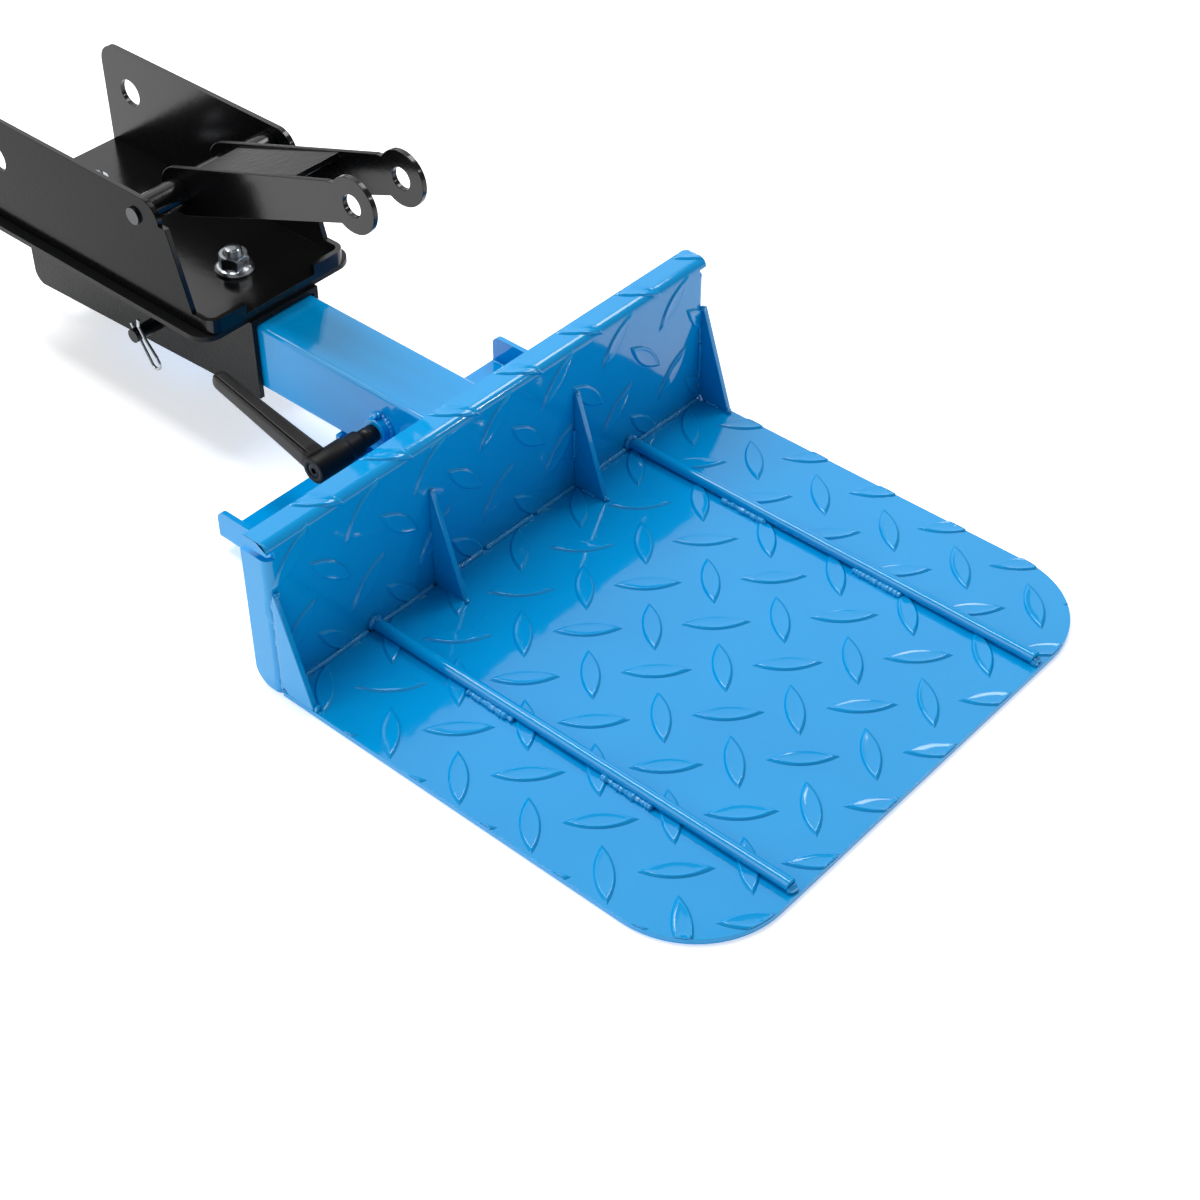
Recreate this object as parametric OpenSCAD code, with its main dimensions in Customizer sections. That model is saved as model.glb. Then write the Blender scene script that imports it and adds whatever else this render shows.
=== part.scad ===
// Wheel tray on a telescoping arm, with its receiver, bracket and lift link.
// X runs from the wall towards the deck's front edge, Y along the wall, Z up.
// The origin is on the deck's underside, below the middle of the wall's front face.

/* [Tray] */
// Width of the deck and the wall
deck_w = 312; // [290:2:380]
// Depth of the deck, from the wall's front face
deck_l = 260; // [215:2:320]
// Thickness of the tread plate of deck and wall
plate_t = 3; // [2:0.5:4]
// Radius of the deck's two front corners
corner_r = 49; // [20:1:60]
// Height of the wall above the deck's top
wall_h = 89; // [80:1:110]
// Depth of the wall's folded top flange
flange_d = 14.5; // [10:0.5:20]
// Depth of the wall's folded side flanges
side_d = 18; // [10:0.5:24]
// Outer radius of the wall's folds
fold_r = 5; // [4.5:0.5:6]

/* [Tread pattern] */
// Distance along X between lugs that lie the same way
lug_pitch_x = 44; // [38:0.5:52]
// Distance along Y between lugs that lie the same way
lug_pitch_y = 45.3; // [38:0.1:52]
// Distance of the first row of lugs from the wall
lug_first = 13.7; // [10:0.1:20]
// Shift of the pattern along Y
lug_shift = -6.1; // [-20:0.1:20]
// Length of a lug, tip to tip
lug_l = 31; // [24:1:34]
// Width of a lug at its middle
lug_w = 7.4; // [6:0.2:10]
// Height of a lug
lug_h = 0.7; // [0.5:0.1:1.5]

/* [Rods and gussets] */
// Diameter of the two wheel-stop rods
rod_d = 6.4; // [5:0.2:10]
// Distance between the rods' axes
rod_span = 191; // [150:1:230]
// Gap from a rod's front end to the deck's front edge
rod_setback = 4; // [2:1:20]
// Height of a gusset
gusset_h = 60; // [40:1:75]
// Base of a gusset, along the deck
gusset_l = 20.5; // [12:0.5:40]
// Thickness of a gusset
gusset_t = 3; // [2:0.5:4]
// Distance between the two middle gussets
gusset_span = 105; // [70:1:140]
// Leg of the fillet welds
weld_leg = 2.4; // [1.5:0.1:4]

/* [Rear channel] */
// Width over the channel's two ears
channel_w = 205; // [160:1:260]
// Distance from the wall's front face to the channel's rear edge
channel_l = 104; // [95:1:130]
// Height of the channel's top face above the deck's top
channel_z = 5.4; // [3.5:0.2:10]
// Height of the ears above the channel's top face
ear_h = 16; // [8:1:30]
// Sheet thickness of the channel and its saddle
channel_t = 3; // [2:0.5:4]

/* [Arm and spigot] */
// Side of the square arm tube
arm_w = 40; // [36:1:48]
// Wall of the arm tube
arm_t = 3; // [2:0.25:4]
// Height of the arm's axis above the deck's top
arm_z = 45.2; // [44:0.2:56]
// Distance from the wall's front face to the arm's inner end
arm_back = 338; // [320:1:360]
// Length of the spigot behind the wall
spigot_l = 110; // [105:1:140]
// Wall of the spigot tube
spigot_t = 3; // [2:0.25:4]

/* [Travel] */
// How far the tray slides out along the arm
tray_travel = 30; // [10:1:34]
// How far the arm slides out of the receiver
arm_out = 70; // [20:1:75]
// How far the arm slides into the receiver
arm_in = 35; // [10:1:40]

/* [Clamp lever] */
// Distance from the wall's front face to the lever's axis
lever_x = 67; // [60:1:75]
// Diameter of the lever's thread
stud_d = 8; // [6:1:10]
// Diameter of the welded boss
boss_d = 15; // [13:1:20]
// How far the boss stands out of the arm
boss_h = 6; // [4:0.5:8]
// Diameter of the stud's collar
collar_d = 10; // [9:0.5:11]
// Length of the stud's collar
collar_l = 10; // [6:1:14]
// Diameter of the hub's narrower inner ring
ring_d = 13; // [11.5:0.1:14]
// Diameter of the hub
hub_d = 14.4; // [14:0.2:18]
// Length of the hub, ring included
hub_l = 32; // [30:1:38]
// Length of the lever's arm, from its axis to its tip
lever_l = 77; // [60:1:80]
// Angle by which the lever's arm rises towards the rear
lever_rise = 15; // [0:1:40]

/* [Receiver] */
// Distance from the wall's front face to the receiver's mouth
mouth_x = 158; // [158:1:170]
// Distance from the wall's front face to the receiver's rear end
receiver_back = 350; // [345:1:380]
// Sheet thickness of the receiver, base plate and bracket
black_t = 3; // [2:0.25:4]
// Drop of the receiver's side below the arm's underside at the mouth
drop_front = 5; // [4:0.5:12]
// Drop of the receiver's side below the arm's underside at the rear
drop_back = 14; // [6:0.5:20]
// Width of the base plate on the receiver
base_w = 108; // [104:1:140]
// Radius of the base plate's front corners
base_r = 12; // [4:1:14]

/* [Bracket] */
// Width over the bracket's two side plates
bracket_w = 96; // [84:1:98]
// Height of the side plates above the base plate
bracket_h = 65; // [60:1:80]
// How far the side plates' front edge leans back over its height
lean = 19; // [5:1:24]
// Height of the front lips above the bracket's floor
lip_h = 5.5; // [4:0.5:12]
// Gap between the two front lips
lip_gap = 48; // [30:1:60]
// Diameter of the bore for the machine's axle
axle_d = 16; // [10:1:20]
// Distance from the wall's front face to the front nut
nut_x = 196; // [192:1:200]
// Distance between the two nuts
nut_span = 114; // [90:1:120]
// Diameter of the two weld studs
bolt_d = 10; // [8:1:12]

/* [Lift link] */
// Distance from the wall's front face to the pivot pin
pivot_x = 211; // [208:1:216]
// Height of the pivot pin above the deck's top
pivot_z = 124; // [120:1:126]
// Diameter of the pivot pin
pivot_d = 9.5; // [8:0.5:12]
// Length of the link, pin to eye
link_l = 140; // [110:1:160]
// Angle by which the link rises towards the front
link_rise = 19; // [5:1:30]
// Width over the link's two cheeks
link_w = 36; // [28:1:44]
// Depth of a cheek at the pivot end
cheek_h = 27; // [22:1:28]
// Outer radius of the link's eye
eye_r = 15; // [12:1:18]
// Diameter of the hole in the link's eye
eye_d = 12; // [8:0.5:16]

/* [Hitch pin] */
// Distance from the wall's front face to the hitch pin
hitch_x = 239; // [236:1:242]
// Height of the hitch pin above the arm's underside
hitch_z = 7.6; // [7.5:0.1:9]
// Diameter of the hitch pin
hitch_d = 8; // [6:0.5:8]
// Wire diameter of the spring clip
clip_d = 2; // [1.5:0.1:2.5]
// Length of the spring clip's straight leg
clip_l = 25; // [22:1:40]

/* [Clearances] */
// Radial clearance of a pin that turns or slides in its bore
run_gap = 0.05; // [0.02:0.01:0.1]
// Gap between sliding square sections
slide_gap = 0.3; // [0.2:0.05:0.5]
// Gap between parts that only pass each other
pass_gap = 0.5; // [0.3:0.1:1]

/* [Hidden] */
$fn = 48;
tiny = 0.01;
deck_top = plate_t;
wall_top = deck_top + wall_h;
rod_r = rod_d / 2;
channel_top = deck_top + channel_z;
arm_axis = deck_top + arm_z;
arm_under = arm_axis - arm_w / 2;
arm_over = arm_axis + arm_w / 2;
arm_front = -(plate_t + 1);
arm_in_w = arm_w - 2 * arm_t;
spigot_w = arm_in_w - 2 * slide_gap;
stud_r = stud_d / 2;
hub_y = arm_w / 2 + boss_h + slide_gap + collar_l;
hub_end = hub_y + hub_l;
insert_r = collar_d / 2 - 0.8;
insert_l = 14;
screw_r = 2;
screw_head_r = 3.8;
screw_head_l = 2.8;
spring_seat = hub_y + insert_l + 7;
head_y = hub_end - 0.4 - screw_head_l;
receiver_in = arm_w + 2 * pass_gap;
receiver_w = receiver_in + 2 * black_t;
receiver_top = arm_over + pass_gap + black_t;
base_top = receiver_top + black_t;
floor_top = base_top + black_t;
side_top = base_top + bracket_h;
bracket_front = mouth_x + 2;
side_front = bracket_front + 12;
hitch_axis = arm_under + hitch_z;
hitch_r = hitch_d / 2;
hitch_end = receiver_w / 2 + 18;
clip_y = hitch_end - 3;
clip_lean = 32;
clip_head_r = 3.6;
pivot_axis = deck_top + pivot_z;
pivot_r = pivot_d / 2;
bush_r = pivot_r + 3;
nut_flat = bolt_d * 1.5;
nut_h = bolt_d * 1.0;
nut_flange_r = bolt_d * 1.09;
thread_out = 3;
axle_x = receiver_back - 22;
axle_z = side_top - 25;
bush_l = bracket_w / 2 - black_t - slide_gap;
lug_r = (lug_l * lug_l + lug_w * lug_w) / (4 * lug_w);

// ---------- shared shapes ----------

// A shape drawn in X and Z, made `depth` thick and centred on Y = 0
module slab(depth) {
  rotate([90, 0, 0])
    linear_extrude(height = depth, center = true)
      children();
}

// A cylinder along Y from y0 to y1, at x and z
module along_y(x, z, y0, y1, r) {
  translate([x, y0, z])
    rotate([-90, 0, 0])
      cylinder(r = r, h = y1 - y0);
}

// A quarter ring from +X to +Z, for a sheet's fold
module fold(outer, inner) {
  intersection() {
    difference() {
      circle(r = outer);
      circle(r = inner);
    }
    square(outer + 1);
  }
}

// A rectangle with two rounded corners at its +X end
module nose_plate(l, w, r) {
  difference() {
    translate([0, -w / 2])
      square([l, w]);
    for (side = [-1, 1])
      translate([l, side * w / 2])
        difference() {
          square(2 * r, center = true);
          translate([-r, -side * r])
            circle(r = r);
        }
  }
}

// ---------- tread pattern ----------

// A pointed oval: two equal circles' overlap, lying along X
module lug_outline() {
  intersection_for(side = [-1, 1])
    translate([0, side * (lug_r - lug_w / 2)])
      circle(r = lug_r, $fn = 96);
}

module lug(turn) {
  rotate(turn)
    linear_extrude(height = lug_h)
      lug_outline();
}

// Lugs on a flat plate. Each row is half a pitch from the next and lies at a right
// angle to it. Lugs that would leave the plate are left out, and so are those that
// would run into the rods or gussets, which stand at the distances `keep_out`.
module lug_field(x_lo, x_hi, y_half, keep_out) {
  half_x = lug_pitch_x / 2;
  half_y = lug_pitch_y / 2;
  reach = lug_l * 0.38;
  rows = [floor((x_lo - lug_first) / half_x) : ceil((x_hi - lug_first) / half_x)];
  cols = ceil(y_half / half_y) + 1;
  for (i = rows, j = [-cols : cols]) {
    x = lug_first + i * half_x;
    y = lug_shift + j * half_y;
    fits = x - reach > x_lo && x + reach < x_hi && abs(y) + reach < y_half;
    clear = min([for (k = keep_out) abs(abs(y) - k)]) > reach + rod_r;
    if (fits && clear && (i + j) % 2 == 0)
      translate([x, y, 0])
        lug(i % 2 == 0 ? -45 : 45);
  }
}

// ---------- tray ----------

module deck_plate() {
  color("dodgerblue")
    union() {
      linear_extrude(height = plate_t)
        nose_plate(deck_l, deck_w, corner_r);
      translate([0, 0, deck_top - tiny])
        intersection() {
          lug_field(weld_leg, deck_l - 3, deck_w / 2 - 3, [rod_span / 2]);
          translate([0, 0, -1])
            linear_extrude(height = 2 + lug_h)
              nose_plate(deck_l - 6, deck_w - 12, corner_r);
        }
    }
}

// One sheet: the wall, its folded top flange and its two folded side flanges
module wall_plate() {
  side_top_z = wall_top - fold_r - 5;
  low_r = 10;
  far_r = 8;
  color("dodgerblue")
    union() {
      difference() {
        linear_extrude(height = side_top_z)
          for (side = [-1, 1])
            mirror([0, side < 0 ? 1 : 0])
              union() {
                translate([-fold_r, deck_w / 2 - fold_r])
                  fold(fold_r, fold_r - plate_t);
                translate([-side_d, deck_w / 2 - plate_t])
                  square([side_d - fold_r, plate_t]);
                translate([-plate_t, -tiny])
                  square([plate_t, deck_w / 2 - fold_r + tiny]);
              }
        translate([-side_d, 0, 0])
          slab(deck_w + 2)
            difference() {
              square(2 * low_r, center = true);
              translate([low_r, low_r])
                circle(r = low_r);
            }
      }
      slab(deck_w - 2 * fold_r)
        translate([-plate_t, side_top_z - 1])
          square([plate_t, wall_top - fold_r - side_top_z + 1 + tiny]);
      difference() {
        slab(deck_w)
          union() {
            translate([-fold_r, wall_top - fold_r])
              fold(fold_r, fold_r - plate_t);
            translate([-flange_d, wall_top - plate_t])
              square([flange_d - fold_r, plate_t]);
          }
        translate([-flange_d, deck_w / 2, wall_top - plate_t - 1])
          linear_extrude(height = plate_t + 2)
            difference() {
              square(2 * far_r, center = true);
              translate([far_r, -far_r])
                circle(r = far_r);
            }
      }
      rotate([0, 90, 0])
        translate([-deck_top, 0, -tiny])
          lug_field(-(wall_h - fold_r), -weld_leg, deck_w / 2 - 3, [gusset_span / 2]);
    }
}

module gusset() {
  snip = weld_leg + 1;
  blunt = 1.6;
  slab(gusset_t)
    polygon([
      [snip, 0], [gusset_l, 0], [gusset_l, blunt],
      [blunt, gusset_h], [0, gusset_h], [0, snip],
    ]);
}

module gusset_at(y) {
  color("deepskyblue")
    translate([0, y, deck_top])
      gusset();
}

module end_gusset_left() gusset_at(-(deck_w - gusset_t) / 2);
module end_gusset_right() gusset_at((deck_w - gusset_t) / 2);
module mid_gusset_left() gusset_at(-gusset_span / 2);
module mid_gusset_right() gusset_at(gusset_span / 2);

module wheel_stop_rod(side) {
  color("deepskyblue")
    translate([0, side * rod_span / 2, deck_top + rod_r])
      rotate([0, 90, 0])
        cylinder(d = rod_d, h = deck_l - rod_setback);
}

module wheel_stop_rod_left() wheel_stop_rod(-1);
module wheel_stop_rod_right() wheel_stop_rod(1);

// A fillet weld in the corner between wall and deck
module corner_weld(y0, y1) {
  translate([0, (y0 + y1) / 2, deck_top])
    slab(y1 - y0)
      polygon([[0, 0], [weld_leg, 0], [0, weld_leg]]);
}

// A weld along one side of a rod, cut to the rod's round
module rod_weld(side, x0, x1) {
  translate([x0, side * rod_span / 2, deck_top])
    rotate([90, 0, 90])
      linear_extrude(height = x1 - x0)
        difference() {
          polygon([[-rod_r - weld_leg, 0], [0, 0], [-rod_r, rod_r + 0.8]]);
          translate([0, rod_r])
            circle(r = rod_r + 0.02);
        }
}

// A weld in front of a rod's end, on the deck
module rod_end_weld(side) {
  translate([deck_l - rod_setback, side * rod_span / 2, deck_top])
    slab(rod_d)
      polygon([[0, 0], [rod_setback - 1, 0], [0, rod_r]]);
}

module tray_welds() {
  edge = rod_r + weld_leg;
  mid = gusset_span / 2 + gusset_t;
  rod_y = rod_span / 2;
  gusset_y = deck_w / 2 - gusset_t - 1;
  color("deepskyblue")
    union() {
      for (s = [-1, 1])
        mirror([0, s < 0 ? 1 : 0]) {
          corner_weld(arm_w / 2, mid - 2 * gusset_t);
          corner_weld(mid, rod_y - edge);
          corner_weld(rod_y + edge, gusset_y);
        }
      for (s = [-1, 1]) {
        rod_weld(s, deck_l * 0.26, deck_l * 0.37);
        rod_weld(s, deck_l * 0.58, deck_l * 0.69);
        rod_end_weld(s);
      }
    }
}

// ---------- behind the wall ----------

// A sheet under the arm with its two ends folded up into ears
module rear_channel() {
  bend = channel_t + 1;
  ear_r = 5;
  length = channel_l - plate_t;
  color("royalblue")
    translate([-channel_l, 0, channel_top - channel_t])
      difference() {
        rotate([90, 0, 90])
          linear_extrude(height = length)
            for (side = [-1, 1])
              mirror([side < 0 ? 1 : 0, 0])
                union() {
                  translate([-tiny, 0])
                    square([channel_w / 2 - bend + tiny, channel_t]);
                  translate([channel_w / 2 - bend, bend])
                    mirror([0, 1])
                      fold(bend, bend - channel_t);
                  translate([channel_w / 2 - channel_t, bend])
                    square([channel_t, ear_h + channel_t - bend]);
                }
        translate([0, 0, ear_h + channel_t])
          slab(channel_w + 2)
            difference() {
              square(2 * ear_r, center = true);
              translate([ear_r, -ear_r])
                circle(r = ear_r);
            }
      }
}

// The upright plate under the arm at the channel's rear edge
module saddle_plate() {
  h = arm_under - slide_gap - channel_top;
  color("royalblue")
    translate([-channel_l + channel_t, -(arm_w / 2 + 2.5), channel_top])
      cube([channel_t, arm_w + 5, h]);
}

module square_tube(l, w, t, r) {
  rotate([90, 0, 90])
    linear_extrude(height = l)
      difference() {
        rounded_square(w, r);
        rounded_square(w - 2 * t, max(r - t, 0.4));
      }
}

module rounded_square(w, r) {
  square([w - 2 * r, w], center = true);
  square([w, w - 2 * r], center = true);
  for (sx = [-1, 1], sy = [-1, 1])
    translate([sx * (w / 2 - r), sy * (w / 2 - r)])
      circle(r = r);
}

// The inner tube on the wall's back that carries the tray in the arm
module spigot_tube() {
  color("royalblue")
    translate([-plate_t - spigot_l, 0, arm_axis])
      square_tube(spigot_l, spigot_w, spigot_t, 2);
}

// ---------- arm ----------

module arm_tube() {
  slot_back = hitch_x + arm_out + hitch_r + pass_gap;
  slot_front = hitch_x - arm_in - hitch_r - pass_gap;
  slot_h = hitch_d + 2 * slide_gap;
  color("dodgerblue")
    difference() {
      translate([-arm_back, 0, arm_axis])
        square_tube(arm_front + arm_back, arm_w, arm_t, 2.4);
      along_y(-lever_x, arm_axis, -arm_w / 2 - 1, 0, stud_r + run_gap);
      slab_slot(-slot_back, -slot_front, hitch_axis, slot_h);
    }
}

// A slot with round ends through both sides of the arm
module slab_slot(x0, x1, z, h) {
  slab(arm_w + 2)
    union() {
      translate([x0 + h / 2, z - h / 2])
        square([x1 - x0 - h, h]);
      for (x = [x0 + h / 2, x1 - h / 2])
        translate([x, z])
          circle(d = h);
    }
}

// The threaded boss welded on the arm's side for the clamp lever
module clamp_boss() {
  y = arm_w / 2;
  color("dodgerblue")
    difference() {
      along_y(-lever_x, arm_axis, -y - boss_h, -y, boss_d / 2);
      along_y(-lever_x, arm_axis, -y - boss_h - 1, -y + 1, stud_r + run_gap);
    }
}

// ---------- clamp lever ----------

// Steel insert: thread, collar and the serrated core inside the hub
module lever_stud() {
  tip = spigot_w / 2 + slide_gap;
  color("dimgray")
    difference() {
      union() {
        along_y(-lever_x, arm_axis, -hub_y, -tip, stud_r);
        along_y(-lever_x, arm_axis, -hub_y, -hub_y + collar_l, collar_d / 2);
        along_y(-lever_x, arm_axis, -hub_y - insert_l, -hub_y, insert_r);
      }
      along_y(-lever_x, arm_axis, -hub_y - insert_l - 1, -hub_y, screw_r + run_gap);
    }
}

// Cap screw that holds the handle on the insert, with its hexagon socket outwards
module lever_screw() {
  socket = 1.9;
  color("gray")
    difference() {
      union() {
        along_y(-lever_x, arm_axis, -head_y, -hub_y - 1, screw_r);
        along_y(-lever_x, arm_axis, -head_y - screw_head_l, -head_y, screw_head_r);
      }
      translate([-lever_x, -head_y - screw_head_l - tiny, arm_axis])
        rotate([-90, 0, 0])
          cylinder(r = socket, h = 2, $fn = 6);
    }
}

// Helix of the return spring, as points around the lever's axis
function helix(turns, r, l, steps) = [
  for (i = [0 : steps])
    let (a = 360 * turns * i / steps)
      [r * cos(a), r * sin(a), l * i / steps],
];

// A wire of radius w that follows the helix, one ring of points for each step
module helix_wire(turns, r, l, w) {
  sides = 8;
  steps = 12 * turns;
  path = helix(turns, r, l, steps);
  rings = [
    for (i = [0 : steps], k = [0 : sides - 1])
      let (a = 360 * turns * i / steps, b = 360 * k / sides)
        path[i] + w * [cos(b) * cos(a), cos(b) * sin(a), sin(b)],
  ];
  walls = [
    for (i = [0 : steps - 1], k = [0 : sides - 1])
      let (n = (k + 1) % sides)
        [i * sides + k, (i + 1) * sides + k, (i + 1) * sides + n, i * sides + n],
  ];
  start = [for (k = [0 : sides - 1]) k];
  finish = [for (k = [sides - 1 : -1 : 0]) steps * sides + k];
  polyhedron(points = rings, faces = concat(walls, [start], [finish]));
}

// Return spring between the handle's seat and the screw's head
module lever_spring() {
  wire = 0.45;
  room = head_y - spring_seat;
  color("silver")
    translate([-lever_x, -spring_seat - wire - 0.1, arm_axis])
      rotate([90, 0, 0])
        helix_wire(4, screw_r + 0.95, room - 2 * wire - 0.2, wire);
}

// Side view of the lever's arm, along -X from the lever's axis
module lever_side_view() {
  polygon([
    [0, -hub_d * 0.4], [-lever_l * 0.5, -4.9], [-lever_l + 4, -4.3], [-lever_l, -1.4],
    [-lever_l, 2], [-lever_l + 3, 4.4], [-lever_l * 0.5, 4.9], [0, hub_d * 0.4],
  ]);
}

// Top view of the lever's arm: wide at the hub and narrow at the tip
module lever_top_view() {
  root = 13;
  tip = 7;
  polygon([
    [0, 0], [-lever_l - 1, 1], [-lever_l - 1, 1 + tip],
    [-lever_l * 0.45, root * 0.72], [-hub_d * 0.4, root], [0, root],
  ]);
}

module lever_handle() {
  outer = hub_end - 0.6;
  color("dimgray")
    difference() {
      union() {
        along_y(-lever_x, arm_axis, -hub_end, -hub_y - 8, hub_d / 2);
        along_y(-lever_x, arm_axis, -hub_y - 9, -hub_y, ring_d / 2);
        translate([-lever_x, 0, arm_axis])
          rotate([0, lever_rise, 0])
            intersection() {
              translate([0, -hub_end / 2, 0])
                slab(hub_end)
                  lever_side_view();
              translate([0, -outer, -20])
                linear_extrude(height = 40)
                  lever_top_view();
            }
      }
      along_y(-lever_x, arm_axis, -hub_y - insert_l - 1, -hub_y + 1, insert_r + run_gap);
      along_y(-lever_x, arm_axis, -hub_end, -hub_y, screw_r + run_gap);
      along_y(-lever_x, arm_axis, -hub_end - 1, -spring_seat, screw_head_r + 0.2);
    }
}

// ---------- receiver ----------

// Side view of the receiver's cheek, deeper at the rear, with a rounded lower corner
module cheek_outline(top) {
  r = 8;
  low_front = arm_under - drop_front;
  low_back = arm_under - drop_back;
  difference() {
    polygon([
      [-mouth_x, low_front], [-mouth_x, top],
      [-receiver_back, top], [-receiver_back, low_back],
    ]);
    translate([-receiver_back, low_back])
      difference() {
        square(2 * r, center = true);
        translate([r, r])
          circle(r = r);
      }
  }
}

// Folded channel that the arm slides in, open below
module receiver_channel() {
  color([0.12, 0.12, 0.13])
    difference() {
      slab(receiver_w)
        cheek_outline(receiver_top);
      translate([-receiver_back - 1, -receiver_in / 2, -50])
        cube([receiver_back - mouth_x + 2, receiver_in, arm_over + pass_gap + 50]);
      along_y(-hitch_x, hitch_axis, -receiver_w, receiver_w, hitch_r + run_gap);
      along_y(-hitch_x - 1, lock_z(), -receiver_w, 0, 3);
    }
}

function lock_z() = hitch_axis + hitch_r + 3.6;

// Two cross straps that close the channel under the arm
module receiver_keepers() {
  strap = 40;
  inset = 6;
  color([0.12, 0.12, 0.13])
    for (x = [-mouth_x - inset - strap, -receiver_back + 20])
      translate([x, -receiver_in / 2, arm_under - pass_gap - black_t])
        cube([strap, receiver_in, black_t]);
}

module base_plate() {
  color([0.12, 0.12, 0.13])
    difference() {
      translate([-receiver_back, 0, receiver_top])
        linear_extrude(height = black_t)
          nose_plate(receiver_back - bracket_front, base_w, base_r);
      stud_holes();
    }
}

module stud_holes() {
  for (x = [nut_x, nut_x + nut_span])
    translate([-x, 0, 0])
      cylinder(d = bolt_d + 2 * run_gap, h = side_top);
}

// ---------- pivot bracket ----------

// Side view of a side plate: a front edge that leans back and rounded upper corners
module side_outline() {
  r = 12;
  foot = -side_front;
  head = -side_front - lean;
  difference() {
    polygon([
      [foot, base_top], [head, side_top], [-receiver_back, side_top], [-receiver_back, base_top],
    ]);
    translate([head, side_top])
      difference() {
        square(2 * r, center = true);
        translate([-r - 1.5, -r])
          circle(r = r);
        translate([-4 * r, -2 * r])
          square([3 * r - 1.5, 3 * r]);
        translate([-r - 1.5, -2 * r])
          square([2 * r, r]);
      }
    translate([-receiver_back, side_top])
      difference() {
        square(2 * r, center = true);
        translate([r, -r])
          circle(r = r);
      }
  }
}

// Rim that runs from each side plate round the floor's front corner and ends as a lip
module lip_rim(l, w, r) {
  difference() {
    nose_plate(l, w, r);
    translate([-1, 0])
      nose_plate(l + 1 - black_t, w - 2 * black_t, r - black_t);
    translate([-1, -lip_gap / 2])
      square([l + 2, lip_gap]);
  }
}

// U-shaped bracket: a floor, two tall side plates and two short lips at the front
module pivot_bracket() {
  inner = bracket_w / 2 - black_t;
  lip_r = 7;
  color([0.1, 0.1, 0.11])
    difference() {
      union() {
        difference() {
          slab(bracket_w)
            side_outline();
          translate([-receiver_back - 1, -inner, floor_top])
            cube([receiver_back, 2 * inner, bracket_h]);
        }
        translate([-side_front - 2, 0, base_top])
          linear_extrude(height = black_t)
            nose_plate(side_front - bracket_front + 2, bracket_w, lip_r);
        translate([-side_front - 2, 0, base_top])
          linear_extrude(height = black_t + lip_h)
            lip_rim(side_front - bracket_front + 2, bracket_w, lip_r);
      }
      stud_holes();
      along_y(-pivot_x, pivot_axis, -bracket_w, bracket_w, pivot_r + run_gap);
      along_y(-axle_x, axle_z, -bracket_w, bracket_w, axle_d / 2);
    }
}

// Two threaded studs welded to the channel's top
module weld_studs() {
  color("silver")
    for (x = [nut_x, nut_x + nut_span])
      translate([-x, 0, receiver_top])
        cylinder(d = bolt_d, h = floor_top - receiver_top + nut_h + thread_out);
}

module flange_nut() {
  flange_t = bolt_d * 0.16;
  difference() {
    union() {
      cylinder(r = nut_flange_r, h = flange_t);
      translate([0, 0, flange_t])
        cylinder(r1 = nut_flange_r - 0.6, r2 = nut_flat * 0.54, h = flange_t);
      cylinder(d = nut_flat / cos(30), h = nut_h, $fn = 6);
    }
    translate([0, 0, -1])
      cylinder(d = bolt_d + 2 * run_gap, h = nut_h + 2);
  }
}

module flange_nuts() {
  color("silver")
    for (x = [nut_x, nut_x + nut_span])
      translate([-x, 0, floor_top])
        flange_nut();
}

// Round-ended screw in the near cheek that stops the arm's rattle
module lock_screw() {
  r = 3;
  proud = 1;
  color("gray")
    along_y(-hitch_x - 1, lock_z(), -receiver_w / 2 - proud, -arm_w / 2 - slide_gap, r - 0.02);
}

module pivot_pin() {
  proud = 1.5;
  color("gray")
    along_y(-pivot_x, pivot_axis, -bracket_w / 2 - proud, bracket_w / 2 + proud, pivot_r);
}

// ---------- lift link ----------

// A cheek of the link from the pivot to the eye, drawn from the pivot along +X
module link_cheek() {
  r = cheek_h / 2;
  neck = 9.5;
  difference() {
    union() {
      circle(r = r);
      polygon([
        [0, -r], [link_l - 14, -neck], [link_l, -eye_r * 0.6],
        [link_l, eye_r * 0.6], [link_l - 14, r * 0.9], [0, r],
      ]);
      translate([link_l, 0])
        circle(r = eye_r);
    }
    translate([link_l, 0])
      circle(d = eye_d);
  }
}

// Folded channel: two cheeks and the web between them, on top
module lift_link() {
  sheet = 3;
  web_from = 18;
  web_to = link_l - 42;
  r = cheek_h / 2;
  color([0.14, 0.14, 0.15])
    difference() {
      translate([-pivot_x, 0, pivot_axis])
        rotate([0, -link_rise, 0])
          union() {
            for (side = [-1, 1])
              translate([0, side * (link_w - sheet) / 2, 0])
                slab(sheet)
                  link_cheek();
            translate([web_from, -link_w / 2 + 1, r * 0.9 - sheet])
              cube([web_to - web_from, link_w - 2, sheet]);
          }
      along_y(-pivot_x, pivot_axis, -link_w, link_w, bush_r + 0.02);
    }
}

// Bush welded in the link's cheeks, which turns on the pivot pin
module link_bush() {
  color([0.14, 0.14, 0.15])
    difference() {
      along_y(-pivot_x, pivot_axis, -bush_l, bush_l, bush_r);
      along_y(-pivot_x, pivot_axis, -bush_l - 1, bush_l + 1, pivot_r + run_gap);
    }
}

// ---------- hitch pin and its clip ----------

module hitch_pin() {
  head_t = 4;
  head_y0 = receiver_w / 2 + slide_gap;
  color([0.2, 0.2, 0.22])
    difference() {
      union() {
        along_y(-hitch_x, hitch_axis, -hitch_end, head_y0, hitch_r);
        along_y(-hitch_x, hitch_axis, head_y0, head_y0 + head_t, hitch_r + 3);
      }
      clip_frame()
        translate([0, 0, -hitch_r - 1])
          cylinder(r = clip_d / 2 + run_gap, h = hitch_d + 2);
    }
}

// The clip's own frame: its straight leg runs along -Z from the pin, leaning forwards
module clip_frame() {
  translate([-hitch_x, -clip_y, hitch_axis])
    rotate([0, -clip_lean, 0])
      children();
}

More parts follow.
